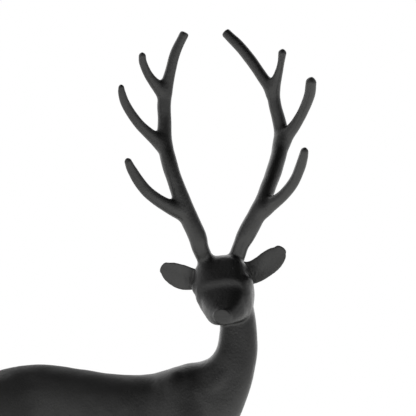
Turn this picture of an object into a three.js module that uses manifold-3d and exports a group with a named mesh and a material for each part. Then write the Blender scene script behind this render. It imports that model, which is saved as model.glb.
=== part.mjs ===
// A cast iron stag on a low base. It stands side on, with its head turned to look out over its right flank.
// Millimetres, +Z up. The trunk runs along X with the chest at +X, and the face looks along -Y.
// The origin is the middle of the base's underside.

import * as THREE from "three";
import { mergeVertices } from "three/addons/utils/BufferGeometryUtils.js";
import Module from "manifold-3d";

// Driving sizes
const STAG_HEIGHT = 452; // from the soles to the highest antler tip
const BASE_THICKNESS = 12;
const BASE_MARGIN = 17; // how far the base runs past the hooves on every side
const BASE_EDGE = 3; // rounding of the base's upper and lower edges
const MOST_EDGE = 0.4; // the rounding's largest share of the base's thickness
const SEAT_GAP = 0.3; // between the soles and the base

// The figure's own places below are written for a stag this tall, with the soles at z = 0, and scaled to STAG_HEIGHT.
const DRAWN_HEIGHT = 452;
const share = STAG_HEIGHT / DRAWN_HEIGHT;

// Facets round each form, and steps from one station to the next
const BODY_SIDES = 24;
const BODY_STEPS = 2;
const HEAD_SIDES = 18;
const HEAD_STEPS = 2;
const LEG_SIDES = 10;
const LEG_STEPS = 2;
const ANTLER_SIDES = 8;
const ANTLER_STEPS = 2;
const EAR_STEPS = 2;
const TAIL_STEPS = 2;
const TIP_RINGS = 2;
const TIP_FLAT = 0.35; // how much of a step the last ring of a tip stops short of its pole
const EAR_TIP_DEPTH = 0.55; // how far an ear's tip rounds out, as a share of its half height
const EAR_SIDES = 10;
const EYE_FACETS = [8, 5];
const BASE_EDGE_STEPS = 3;
const BASE_END_STEPS = 12;

// Trunk and neck, from the rump to the poll: where the outline runs along the back (x, z), where it runs along the
// belly and throat (x, z), half the width, how far the neck drifts in y, and how square the section is.
const TRUNK_AND_NECK = [
  { back: [-95, 176], front: [-96, 154], half: 10, y: 0, square: 2 },
  { back: [-86, 187], front: [-91, 143], half: 19, y: 0, square: 2 },
  { back: [-66, 195.5], front: [-70, 138], half: 24, y: 0, square: 2 },
  { back: [-38, 200], front: [-40, 138], half: 25, y: 0, square: 2.1 },
  { back: [-10, 197], front: [-12, 130], half: 26, y: 0, square: 2.2 },
  { back: [20, 192.5], front: [18, 122], half: 27.5, y: 0, square: 2.2 },
  { back: [44, 192.3], front: [45, 117.5], half: 28, y: 0, square: 2.1 },
  { back: [55, 194.6], front: [58, 117], half: 27.6, y: 0, square: 2.6 },
  { back: [65, 197.8], front: [72, 117.5], half: 27.2, y: 0, square: 3.4 },
  { back: [75, 200.5], front: [87, 123.5], half: 24.6, y: 0, square: 2.5 },
  { back: [84, 202], front: [100, 136], half: 22.5, y: 0, square: 2.6 },
  { back: [92, 205.5], front: [113, 160], half: 19.5, y: 0, square: 3.4 },
  { back: [97, 213], front: [121.5, 183], half: 17, y: 0, square: 4 },
  { back: [98.8, 224], front: [126.5, 206], half: 15, y: 1, square: 3.4 },
  { back: [99, 234], front: [126.5, 222], half: 14.5, y: 2, square: 2.8 },
  { back: [97, 247], front: [124.5, 240], half: 15, y: 4, square: 2.4 },
  { back: [96, 263], front: [120, 258], half: 9.5, y: 2.5, square: 2 },
];

// One foreleg and one hind leg, from inside the trunk to the top of the hoof: the middle (x, y, z) on the side of
// +Y, then half the length and half the width of the level section there.
const FORELEG = [
  { at: [66, 12, 185], long: 3, wide: 2 },
  { at: [66, 14.5, 181], long: 9, wide: 6 },
  { at: [67, 17.2, 173], long: 13, wide: 8.8 },
  { at: [68.5, 19, 163], long: 15.5, wide: 10.2 },
  { at: [70.5, 19.7, 151], long: 17.5, wide: 11 },
  { at: [74, 19.2, 139], long: 17.5, wide: 11 },
  { at: [77, 18.5, 125], long: 15, wide: 10 },
  { at: [78.5, 18, 107], long: 10.5, wide: 8 },
  { at: [79.5, 18, 88], long: 7.6, wide: 6.6 },
  { at: [80.5, 18, 72], long: 6.8, wide: 6.2 },
  { at: [80.5, 18, 62], long: 5.6, wide: 5.2 },
  { at: [80, 18, 48], long: 4.5, wide: 4.3 },
  { at: [80, 18, 30], long: 4.4, wide: 4.2 },
  { at: [80.8, 18, 20], long: 5.5, wide: 5.2 },
  { at: [82.5, 18, 13], long: 5.1, wide: 4.9 },
];
const HIND_LEG = [
  { at: [-62, 9, 190], long: 3, wide: 2 },
  { at: [-63, 13, 186], long: 12, wide: 6 },
  { at: [-64, 17, 177], long: 22, wide: 9.5 },
  { at: [-65, 19.5, 161], long: 28, wide: 12 },
  { at: [-64, 19.5, 143], long: 26, wide: 12 },
  { at: [-66, 19, 127], long: 20, wide: 10.5 },
  { at: [-73, 18.5, 111], long: 13.5, wide: 8.5 },
  { at: [-82, 18, 95], long: 9.4, wide: 6.8 },
  { at: [-90, 18, 81], long: 7.6, wide: 5.7 },
  { at: [-92.5, 18, 72], long: 7, wide: 5.4 },
  { at: [-92, 18, 62], long: 5.7, wide: 4.9 },
  { at: [-90, 18, 46], long: 4.8, wide: 4.4 },
  { at: [-88.5, 18, 29], long: 4.6, wide: 4.3 },
  { at: [-88, 18, 20], long: 5.6, wide: 5.2 },
  { at: [-86.3, 18, 13], long: 5.2, wide: 4.9 },
];
// How far each foot stands ahead of its drawn place, so that the four legs aren't in step
const STRIDE = { right_fore: 2, left_fore: -7, right_hind: -3, left_hind: 8 };

// Hoof, from the hair line down to the sole: half the length, half the width, how far the middle lies ahead of the
// leg's last station, and the height.
const HOOF = [
  { long: 5.4, wide: 5, ahead: 0.4, z: 11.5 },
  { long: 6.6, wide: 5.9, ahead: 1.6, z: 8 },
  { long: 7.8, wide: 6.5, ahead: 2.8, z: 3.5 },
  { long: 8.4, wide: 6.7, ahead: 3.4, z: 0 },
];
const CLEFT = { wide: 1.3, deep: 8, high: 8.5 }; // the split at the front of each hoof

// Tail: the middle (x, z) of each section, half its width across and half its thickness
const TAIL = [
  { at: [-86, 178], wide: 5, thick: 5 },
  { at: [-95, 172], wide: 6, thick: 4.5 },
  { at: [-101.5, 162], wide: 6.2, thick: 3.6 },
  { at: [-103.5, 151], wide: 4.8, thick: 2.8 },
  { at: [-102, 142], wide: 2, thick: 1.4 },
];

// Head in its own frame: ahead along the muzzle, up from the middle of the skull, and half the width. taper narrows
// a section towards the jaw, and square makes it boxier than an ellipse.
const HEAD_AT = [102.1, -1, 259.5];
const HEAD_YAW = 12; // degrees past square to the trunk
const HEAD_ROLL = 8; // degrees, its left side up
const HEAD_DRIFT = -0.1; // how far its middle drifts to its left with height, as a share of the height
const SKULL = [
  { ahead: -16, top: 9, bottom: -14, half: 10, taper: 0, square: 2 },
  { ahead: -12, top: 17, bottom: -20, half: 17.2, taper: 0.06, square: 2.2 },
  { ahead: -5, top: 22.2, bottom: -26, half: 20.8, taper: 0.12, square: 2.5 },
  { ahead: 0, top: 22, bottom: -28, half: 21.5, taper: 0.16, square: 2.9 },
  { ahead: 4, top: 20, bottom: -28.4, half: 21.5, taper: 0.18, square: 3.2 },
  { ahead: 8, top: 15.4, bottom: -28.6, half: 21.3, taper: 0.2, square: 3.5 },
  { ahead: 12, top: 10.4, bottom: -28, half: 20.5, taper: 0.23, square: 3.8 },
  { ahead: 15, top: 6.8, bottom: -26.8, half: 19.2, taper: 0.26, square: 3.8 },
  { ahead: 16.6, top: 4.4, bottom: -25.4, half: 17.7, taper: 0.27, square: 3.5 },
  { ahead: 17.2, top: 1.5, bottom: -23.6, half: 15, taper: 0.28, square: 3 },
];
const MUZZLE_END = 32; // how far ahead the muzzle ends
// reach is a share of the way to the muzzle's end
const MUZZLE = [
  { reach: 0.1875, top: -1, bottom: -27, half: 14, taper: 0.02, square: 3.2 },
  { reach: 0.4375, top: -1.4, bottom: -28.2, half: 16.2, taper: 0.08, square: 3.6 },
  { reach: 0.5625, top: -3.6, bottom: -28.8, half: 16.2, taper: 0.1, square: 3.8 },
  { reach: 0.7031, top: -9, bottom: -29.3, half: 14.2, taper: 0.1, square: 3.6 },
  { reach: 0.8594, top: -14.4, bottom: -29.5, half: 10.4, taper: 0.08, square: 3.4 },
  { reach: 0.9469, top: -17, bottom: -29.6, half: 7.8, taper: 0.04, square: 3 },
  { reach: 1, top: -18, bottom: -29.4, half: 5.8, taper: 0, square: 2.4 },
];
const NOSE = { proud: 0.4, up: -23.2, wide: 6.8, high: 6, depth: 2.2, bevel: 0.9, tilt: 8 };
const EYE = { ahead: 7, up: 1, sunk: 1.2, long: 6, high: 4.5, proud: 2.6 };

// Ears: the middle line (x, y, z) from inside the skull to the tip, half the height of the leaf and half its thickness
const RIGHT_EAR = [
  { at: [93, 7, 263], high: 5, thick: 4 },
  { at: [85, 6.2, 264], high: 6.2, thick: 3.4 },
  { at: [77, 5.3, 264.3], high: 8.1, thick: 3 },
  { at: [69, 4.3, 266.1], high: 9, thick: 2.8 },
  { at: [61.8, 3.3, 269.8], high: 7.4, thick: 2.5 },
  { at: [57.2, 2.7, 272.6], high: 4.5, thick: 2 },
];
const LEFT_EAR = [
  { at: [115.5, 9.5, 268], high: 8.4, thick: 4 },
  { at: [123.8, 8.5, 269.2], high: 8.5, thick: 3.4 },
  { at: [130.8, 7, 273], high: 8.5, thick: 3 },
  { at: [137, 5.5, 277.8], high: 8.5, thick: 2.8 },
  { at: [142, 4.2, 282.5], high: 7, thick: 2.5 },
  { at: [144.6, 3.5, 286], high: 4.5, thick: 2 },
];

// An ear's section: how square it is, how full its front is as a share of its back, and how far its rim leans forward
const EAR = { square: 4, front: 0.12, lean: 0.12 };

// Antlers: the middle line (x, y, z) and the radius (r) of each beam and of its tines, lowest tine first. Each starts
// inside what it grows from, and its last place is the middle of its rounded tip.
const RIGHT_ANTLER = [
  [
    { at: [94, 7, 266], r: 5 },
    { at: [88.4, 4, 278], r: 5.7 },
    { at: [84.2, -0.4, 287.5], r: 6.1 },
    { at: [81.4, -2.3, 297.5], r: 6.7 },
    { at: [73.4, -2.6, 315.5], r: 6.5 },
    { at: [65.6, -1.8, 337], r: 5.6 },
    { at: [61.1, 1, 350.7], r: 5.6 },
    { at: [57.5, 7, 367], r: 5.3 },
    { at: [57.3, 11.5, 382.5], r: 4.9 },
    { at: [56.9, 13, 396], r: 4.9 },
    { at: [59, 13, 409.5], r: 4.5 },
    { at: [62, 12.5, 422], r: 3.8 },
    { at: [65.6, 12, 435], r: 3.6 },
    { at: [71.2, 11.5, 446.6], r: 3.3 },
  ],
  [
    { at: [74, -2, 313], r: 2.5 },
    { at: [68.5, -3.5, 315], r: 5.2 },
    { at: [62.3, -6, 317.8], r: 5.1 },
    { at: [53.2, -10, 323], r: 4.4 },
    { at: [45.2, -13.5, 329.2], r: 4.2 },
    { at: [38.2, -17, 337.4], r: 3.9 },
    { at: [32.7, -21.5, 346.4], r: 3.3 },
    { at: [30, -25.5, 352.6], r: 2.5 },
  ],
  [
    { at: [58.5, 7, 362], r: 2.5 },
    { at: [54.5, 7, 365.5], r: 4.5 },
    { at: [49.6, 5.5, 370], r: 4.3 },
    { at: [40.4, 2, 378.2], r: 3.6 },
    { at: [33.5, -2, 386.6], r: 3.3 },
    { at: [28.1, -6, 395.6], r: 3 },
    { at: [25.4, -10, 403.6], r: 2.6 },
    { at: [24.9, -12.5, 408.2], r: 1.9 },
  ],
  [
    { at: [58, 13, 403], r: 2 },
    { at: [54.5, 12, 406], r: 4 },
    { at: [50.6, 10, 410.4], r: 3.8 },
    { at: [44.8, 6.5, 418.2], r: 3 },
    { at: [41.2, 2.5, 426.6], r: 2.7 },
    { at: [40.6, -0.5, 432], r: 2.4 },
  ],
];
const LEFT_ANTLER = [
  [
    { at: [107, 7, 268], r: 5 },
    { at: [111.6, 4, 281], r: 5.8 },
    { at: [114.6, 0.6, 289.5], r: 5.7 },
    { at: [118.3, -1.6, 297.5], r: 6.6 },
    { at: [126.5, -3.2, 313.5], r: 6.4 },
    { at: [130.6, -0.8, 322.5], r: 6 },
    { at: [133.8, 4.8, 331.5], r: 5.6 },
    { at: [139.5, 17, 347], r: 5.7 },
    { at: [143.7, 28, 362], r: 5.6 },
    { at: [144.6, 34.5, 376], r: 5 },
    { at: [141, 35.5, 393], r: 4.5 },
    { at: [138.2, 36, 405.5], r: 4.6 },
    { at: [131, 37.5, 415.6], r: 4 },
    { at: [121.5, 40.5, 429], r: 3.8 },
    { at: [112.4, 43, 440], r: 3.6 },
    { at: [104.8, 45, 448.4], r: 3.3 },
  ],
  [
    { at: [126.5, -2.5, 313.5], r: 2.5 },
    { at: [131.5, -3.6, 316.2], r: 5.3 },
    { at: [137.4, -5.5, 320], r: 4.9 },
    { at: [146, -10, 326.8], r: 4 },
    { at: [153.5, -14.5, 336], r: 3.8 },
    { at: [158.2, -19, 346], r: 3.7 },
    { at: [160.9, -24, 355], r: 3.3 },
    { at: [162, -27, 360.2], r: 2.6 },
  ],
  [
    { at: [143, 29.5, 361], r: 2.5 },
    { at: [146.2, 30, 367], r: 4.8 },
    { at: [150, 29, 373], r: 4.6 },
    { at: [156.2, 25.5, 382], r: 3.7 },
    { at: [161.5, 21, 391.5], r: 3.6 },
    { at: [165.8, 15, 402], r: 3.9 },
    { at: [167.6, 9, 412.5], r: 3.7 },
  ],
  [
    { at: [137.5, 36, 402.5], r: 2 },
    { at: [139, 35, 407], r: 4 },
    { at: [140.6, 33, 411.5], r: 3.8 },
    { at: [143, 30, 419], r: 2.8 },
    { at: [144.9, 26.5, 427], r: 2.3 },
    { at: [146, 22.5, 434.6], r: 2.8 },
  ],
];

// What the cast iron looks like
const blackenedIron = new THREE.MeshStandardMaterial({
  name: "blackened cast iron",
  color: 0x1d1d1e,
  roughness: 0.5,
  metalness: 0,
});

const wasm = await Module();
wasm.setup();

// Stations to finer ones: a smooth curve through every number that the stations hold, with `steps` to each span.
function smooth(stations, steps) {
  const read = (station) => Object.values(station).flat();
  const rows = stations.map(read);
  const curves = [];
  for (let i = 0; i < rows[0].length; i += 3) {
    const points = rows.map((row) => new THREE.Vector3(row[i], row[i + 1] ?? 0, row[i + 2] ?? 0));
    curves.push(new THREE.CatmullRomCurve3(points, false, "catmullrom", 0.5));
  }
  const last = (stations.length - 1) * steps;
  return Array.from({ length: last + 1 }, (_, k) => {
    const numbers = curves.flatMap((curve) => curve.getPoint(k / last).toArray());
    return refill(stations[0], numbers);
  });
}

// The shape of `station` filled with `numbers` in the same order.
function refill(station, numbers) {
  let next = 0;
  const fill = (value) => (Array.isArray(value) ? value.map(() => numbers[next++]) : numbers[next++]);
  return Object.fromEntries(Object.entries(station).map(([key, value]) => [key, fill(value)]));
}

// One ring of points round `centre`: `up` and `across` are the half axes, as vectors whose cross product points along
// the form. square 2 is an ellipse and more is boxier, and taper narrows the end that `up` points away from.
function ring(centre, up, across, sides, { square = 2, taper = 0 } = {}) {
  const bent = (v) => Math.sign(v) * Math.abs(v) ** (2 / square);
  return Array.from({ length: sides }, (_, k) => {
    const angle = (2 * Math.PI * k) / sides;
    const rise = bent(Math.cos(angle));
    const reach = bent(Math.sin(angle)) * (1 + taper * Math.min(rise, 0));
    return centre.clone().addScaledVector(up, rise).addScaledVector(across, reach);
  });
}

const middleOf = (points) =>
  points.reduce((sum, p) => sum.add(p), new THREE.Vector3()).divideScalar(points.length);

// A closed form through rings of equal length, with a fan of faces over each end.
function skin(rings) {
  const sides = rings[0].length;
  const points = [...rings.flat(), middleOf(rings[0]), middleOf(rings.at(-1))];
  const [startPoint, endPoint] = [points.length - 2, points.length - 1];
  const endRing = (rings.length - 1) * sides;
  const index = [];
  for (let k = 0; k < sides; k++) {
    const next = (k + 1) % sides;
    index.push(startPoint, next, k);
    index.push(endPoint, endRing + k, endRing + next);
    for (let row = 0; row < endRing; row += sides) {
      index.push(row + k, row + next, row + sides + next);
      index.push(row + k, row + sides + next, row + sides + k);
    }
  }
  return new THREE.BufferGeometry().setFromPoints(points).setIndex(index);
}

// Rings that round off an end of radius r, from its last full ring to nearly a point.
function roundTip(centre, direction, up, across, r, sides, depth = 1) {
  return Array.from({ length: TIP_RINGS }, (_, k) => {
    const angle = ((k + 1) / (TIP_RINGS + TIP_FLAT)) * (Math.PI / 2);
    const at = centre.clone().addScaledVector(direction, depth * r * Math.sin(angle));
    const size = Math.cos(angle);
    return ring(at, up.clone().multiplyScalar(size), across.clone().multiplyScalar(size), sides);
  });
}

function solid(geometry) {
  geometry.deleteAttribute("normal");
  geometry.deleteAttribute("uv");
  const merged = mergeVertices(geometry, 1e-4);
  return new wasm.Manifold(
    new wasm.Mesh({
      numProp: 3,
      vertProperties: new Float32Array(merged.attributes.position.array),
      triVerts: new Uint32Array(merged.index.array),
    }),
  );
}

const fuse = (solids) => solids.reduce((whole, next) => whole.add(next));

function geometryOf(manifold) {
  const mesh = manifold.getMesh();
  const geometry = new THREE.BufferGeometry();
  geometry.setAttribute("position", new THREE.BufferAttribute(mesh.vertProperties, 3));
  geometry.setIndex(new THREE.BufferAttribute(mesh.triVerts, 1));
  geometry.computeVertexNormals();
  return geometry;
}

// Trunk and neck in one sweep, with level ends inside the rump and the skull.
function trunkAndNeck() {
  const rings = smooth(TRUNK_AND_NECK, BODY_STEPS).map(({ back, front, half, y, square }) => {
    const top = new THREE.Vector3(back[0], y, back[1]);
    const bottom = new THREE.Vector3(front[0], y, front[1]);
    const centre = top.clone().add(bottom).divideScalar(2);
    const up = top.sub(bottom).divideScalar(2);
    return ring(centre, up, new THREE.Vector3(0, -half, 0), BODY_SIDES, { square });
  });
  return solid(skin(rings));
}

// A leg with its hoof, on the side that `side` names: -1 for its right, at -Y, and 1 for its left.
function leg(stations, side, stride) {
  const top = stations[0].at[2];
  const level = (centre, long, wide) =>
    ring(centre, new THREE.Vector3(long, 0, 0), new THREE.Vector3(0, -wide, 0), LEG_SIDES);
  const place = ([x, y, z]) => new THREE.Vector3(x + stride * (1 - z / top), side * y, z);
  const limb = smooth(stations, LEG_STEPS).map(({ at, long, wide }) => level(place(at), long, wide));
  const ankle = place(stations.at(-1).at);
  const hoof = HOOF.map(({ long, wide, ahead, z }) =>
    level(new THREE.Vector3(ankle.x + ahead, ankle.y, z), long, wide),
  );
  const { long, ahead } = HOOF.at(-1);
  const cleft = new THREE.BoxGeometry(2 * CLEFT.deep, CLEFT.wide, 2 * CLEFT.high);
  cleft.translate(ankle.x + ahead + long, ankle.y, 0);
  return solid(skin([...limb, ...hoof])).subtract(solid(cleft));
}

function tail() {
  const stations = smooth(TAIL, TAIL_STEPS);
  const rings = stations.map(({ at, wide, thick }, k) => {
    const [before, after] = [stations[Math.max(k - 1, 0)].at, (stations[k + 1] ?? stations[k]).at];
    const along = new THREE.Vector3(after[0] - before[0], 0, after[1] - before[1]).normalize();
    const across = new THREE.Vector3(0, wide, 0);
    const up = across.clone().cross(along).setLength(thick);
    return ring(new THREE.Vector3(at[0], 0, at[1]), up, across, LEG_SIDES);
  });
  return solid(skin(rings));
}

// The head's own frame set into the figure: x is ahead along the muzzle, y its left side and z up.
const headFrame = new THREE.Matrix4()
  .makeTranslation(...HEAD_AT)
  .multiply(new THREE.Matrix4().makeRotationZ(THREE.MathUtils.degToRad(-90 - HEAD_YAW)))
  .multiply(new THREE.Matrix4().makeRotationX(THREE.MathUtils.degToRad(HEAD_ROLL)))
  .multiply(new THREE.Matrix4().makeShear(0, 0, 0, 0, 0, HEAD_DRIFT));

function headForm(stations, steps) {
  const rings = smooth(stations, steps).map(({ ahead, top, bottom, half, taper, square }) => {
    const centre = new THREE.Vector3(ahead, 0, (top + bottom) / 2);
    const up = new THREE.Vector3(0, 0, (top - bottom) / 2);
    return ring(centre, up, new THREE.Vector3(0, -half, 0), HEAD_SIDES, { square, taper });
  });
  return skin(rings);
}

// The muzzle's stations with their places ahead in mm
const muzzle = () => MUZZLE.map(({ reach, ...section }) => ({ ahead: reach * MUZZLE_END, ...section }));

// A flat oval pad on the end of the muzzle, with a bevelled edge, that faces a little down.
function nosePad() {
  const { proud, up, wide, high, depth, bevel, tilt } = NOSE;
  const rings = [
    [-depth, 0],
    [depth / 2 - bevel, 0],
    [depth / 2, bevel],
  ].map(([ahead, inset]) => {
    const centre = new THREE.Vector3(ahead, 0, 0);
    const rise = new THREE.Vector3(0, 0, high - inset);
    return ring(centre, rise, new THREE.Vector3(0, inset - wide, 0), HEAD_SIDES);
  });
  return skin(rings).rotateY(THREE.MathUtils.degToRad(tilt)).translate(MUZZLE_END + proud, 0, up);
}

// An eye stands a little proud of the skull's side, its middle sunk into it.
function eye(side) {
  const { ahead, up, sunk, long, high, proud } = EYE;
  const temple = smooth(SKULL, HEAD_STEPS).find((section) => section.ahead >= ahead);
  const ball = new THREE.SphereGeometry(1, ...EYE_FACETS);
  return ball.scale(long, proud, high).translate(ahead, side * (temple.half - sunk), up);
}

function head() {
  const forms = [headForm(SKULL, HEAD_STEPS), headForm(muzzle(), HEAD_STEPS), nosePad(), eye(-1), eye(1)];
  return fuse(forms.map((form) => solid(form.applyMatrix4(headFrame))));
}

// The direction of a middle line at station k.
function heading(stations, k) {
  const before = new THREE.Vector3(...stations[Math.max(k - 1, 0)].at);
  const after = new THREE.Vector3(...stations[Math.min(k + 1, stations.length - 1)].at);
  return after.sub(before).normalize();
}

// Sets an ear's ring to a flat front, its upper rim leaning forward.
function cupped(points, centre) {
  for (const p of points) {
    const bulge = p.y - centre.y;
    p.y -= (bulge < 0 ? (1 - EAR.front) * bulge : 0) + EAR.lean * (p.z - centre.z);
  }
  return points;
}

// An ear is a leaf that stands across the view along Y.
function ear(line) {
  const stations = smooth(line, EAR_STEPS);
  const frames = stations.map(({ at, high, thick }, k) => {
    const along = heading(stations, k);
    const up = new THREE.Vector3(0, 1, 0).cross(along).setLength(high);
    const across = along.clone().cross(up).setLength(thick);
    return { centre: new THREE.Vector3(...at), along, up, across };
  });
  const rings = frames.map(({ centre, up, across }) =>
    cupped(ring(centre, up, across, EAR_SIDES, { square: EAR.square }), centre),
  );
  const { centre, along, up, across } = frames.at(-1);
  const tip = roundTip(centre, along, up, across, stations.at(-1).high, EAR_SIDES, EAR_TIP_DEPTH);
  return solid(skin([...rings, ...tip.map((points) => cupped(points, centre))]));
}

// One beam or tine: a round tube along its middle line, rounded off at the tip.
function tine(line) {
  const stations = smooth(line, ANTLER_STEPS);
  const frames = stations.map(({ at, r }, k) => {
    const along = heading(stations, k);
    const up = new THREE.Vector3(0, 1, 0).cross(along).setLength(r);
    const across = along.clone().cross(up).setLength(r);
    return { centre: new THREE.Vector3(...at), along, up, across };
  });
  const rings = frames.map(({ centre, up, across }) => ring(centre, up, across, ANTLER_SIDES));
  const { centre, along, up, across } = frames.at(-1);
  const tip = roundTip(centre, along, up, across, stations.at(-1).r, ANTLER_SIDES);
  return solid(skin([...rings, ...tip]));
}

const antler = (lines) => fuse(lines.map(tine));

function stag() {
  const whole = fuse([
    trunkAndNeck(),
    head(),
    ear(RIGHT_EAR),
    ear(LEFT_EAR),
    antler(RIGHT_ANTLER),
    antler(LEFT_ANTLER),
    leg(FORELEG, -1, STRIDE.right_fore),
    leg(FORELEG, 1, STRIDE.left_fore),
    leg(HIND_LEG, -1, STRIDE.right_hind),
    leg(HIND_LEG, 1, STRIDE.left_hind),
    tail(),
  ]);
  return geometryOf(whole).scale(share, share, share);
}

// The hooves' reach, from which the base takes its plan
function footprint() {
  const feet = [
    [FORELEG, Math.max(STRIDE.right_fore, STRIDE.left_fore), 1],
    [HIND_LEG, Math.min(STRIDE.right_hind, STRIDE.left_hind), -1],
  ];
  const sole = HOOF.at(-1);
  const [front, rear] = feet.map(([stations, stride, end]) => {
    const [x, , z] = stations.at(-1).at;
    return x + stride * (1 - z / stations[0].at[2]) + sole.ahead + end * sole.long;
  });
  const wide = Math.max(FORELEG.at(-1).at[1], HIND_LEG.at(-1).at[1]) + sole.wide;
  return { front: front * share, rear: rear * share, wide: 2 * wide * share };
}

// A plain slab with half-round ends, its upper and lower edges rounded.
function base({ front, rear, wide }) {
  const edge = Math.min(BASE_EDGE, BASE_THICKNESS * MOST_EDGE);
  const length = front - rear + 2 * (BASE_MARGIN - edge);
  const radius = wide / 2 + BASE_MARGIN - edge;
  const straight = Math.max(length / 2 - radius, 1);
  const plan = new THREE.Shape();
  plan.absarc(straight, 0, radius, -Math.PI / 2, Math.PI / 2);
  plan.absarc(-straight, 0, radius, Math.PI / 2, (3 * Math.PI) / 2);
  plan.closePath();
  const slab = new THREE.ExtrudeGeometry(plan, {
    depth: BASE_THICKNESS - 2 * edge,
    bevelThickness: edge,
    bevelSize: edge,
    bevelSegments: BASE_EDGE_STEPS,
    curveSegments: BASE_END_STEPS,
  });
  return slab.translate(0, 0, edge);
}

const hooves = footprint();
const stagMesh = new THREE.Mesh(stag(), blackenedIron);
stagMesh.name = "stag";
stagMesh.position.set(-(hooves.front + hooves.rear) / 2, 0, BASE_THICKNESS + SEAT_GAP);

const baseMesh = new THREE.Mesh(geometryOf(solid(base(hooves))), blackenedIron.clone());
baseMesh.name = "base";

const statue = new THREE.Group();
statue.add(stagMesh, baseMesh);

export default statue;
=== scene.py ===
# A cast iron stag, blackened all over, standing side on with its face turned to the viewer.
# The figure is one seamless casting: every limb is lofted, all are fused with soft fillets, and the skin is
# the fused form's own surface. It stands on a low base of the same iron.

import math

import bpy
import numpy as np
import openvdb
from bpy.props import FloatProperty, FloatVectorProperty, IntProperty, PointerProperty
from mathutils import Matrix, Vector


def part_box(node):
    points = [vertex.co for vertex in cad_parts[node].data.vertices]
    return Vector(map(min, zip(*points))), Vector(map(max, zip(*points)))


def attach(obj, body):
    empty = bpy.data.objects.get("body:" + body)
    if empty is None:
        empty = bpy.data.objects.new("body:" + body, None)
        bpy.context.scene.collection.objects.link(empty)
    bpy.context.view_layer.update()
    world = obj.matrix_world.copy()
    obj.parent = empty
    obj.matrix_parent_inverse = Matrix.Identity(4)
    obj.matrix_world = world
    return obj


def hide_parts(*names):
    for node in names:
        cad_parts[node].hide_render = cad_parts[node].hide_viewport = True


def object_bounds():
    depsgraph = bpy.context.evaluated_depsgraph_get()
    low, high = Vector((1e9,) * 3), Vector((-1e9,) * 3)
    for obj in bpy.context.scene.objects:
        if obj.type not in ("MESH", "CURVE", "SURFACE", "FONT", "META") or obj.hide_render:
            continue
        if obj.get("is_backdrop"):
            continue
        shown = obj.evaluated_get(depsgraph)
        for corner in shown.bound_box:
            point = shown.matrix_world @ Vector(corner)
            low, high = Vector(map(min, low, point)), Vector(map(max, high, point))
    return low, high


bl_info = {
    "name": "Cast Iron Stag",
    "version": (1, 0, 0),
    "blender": (4, 5, 0),
    "location": "View3D > Sidebar > Stag",
    "description": "Builds a blackened cast iron stag on its base, with studio light",
    "category": "Add Mesh",
}

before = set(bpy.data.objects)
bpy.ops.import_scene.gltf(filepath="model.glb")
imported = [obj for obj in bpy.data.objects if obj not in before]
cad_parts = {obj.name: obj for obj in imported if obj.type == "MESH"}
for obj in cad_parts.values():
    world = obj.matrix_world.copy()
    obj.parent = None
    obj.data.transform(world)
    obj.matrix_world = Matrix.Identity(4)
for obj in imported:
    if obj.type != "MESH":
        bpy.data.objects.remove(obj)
CAD_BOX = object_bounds()
STAG_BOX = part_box("stag")
BASE_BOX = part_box("base")

MM = 0.001
SEED = 11
COAT = 0.3  # how thick the black coat lies over the iron, in mm
FLOOR_HALF = 3.0  # half the floor's side, in metres
CAMERA_SEES = 50  # how far the camera sees, in metres
DRAWN_HEIGHT = 452.0  # the figure's places below are in mm, for a stag this tall with its soles at z = 0

# Trunk and neck, from the rump to the poll: the outline along the back (x, z) and along the belly and
# throat (x, z), half the width, how far the neck drifts in y, and how square the section is.
TRUNK_AND_NECK = (
    ((-95, 176), (-96, 154), 10, 0, 2),
    ((-86, 187), (-91, 143), 19, 0, 2),
    ((-66, 195.5), (-70, 138), 24, 0, 2),
    ((-38, 200), (-40, 138), 25, 0, 2.1),
    ((-10, 197), (-12, 130), 26, 0, 2.2),
    ((20, 192.5), (18, 122), 27.5, 0, 2.2),
    ((44, 192.3), (45, 117.5), 28, 0, 2.1),
    ((55, 194.6), (58, 117), 27.6, 0, 2.6),
    ((65, 197.8), (72, 117.5), 27.2, 0, 3.4),
    ((75, 200.5), (87, 123.5), 24.6, 0, 2.5),
    ((84, 202), (100, 136), 22.5, 0, 2.6),
    ((92, 205.5), (113, 160), 19.5, 0, 3.4),
    ((97, 213), (121.5, 183), 17, 0, 4),
    ((98.8, 224), (126.5, 206), 15, 1, 3.4),
    ((99, 234), (126.5, 222), 14.5, 2, 2.8),
    ((97, 247), (124.5, 240), 15, 4, 2.4),
    ((96, 263), (120, 258), 9.5, 2.5, 2),
)

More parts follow.
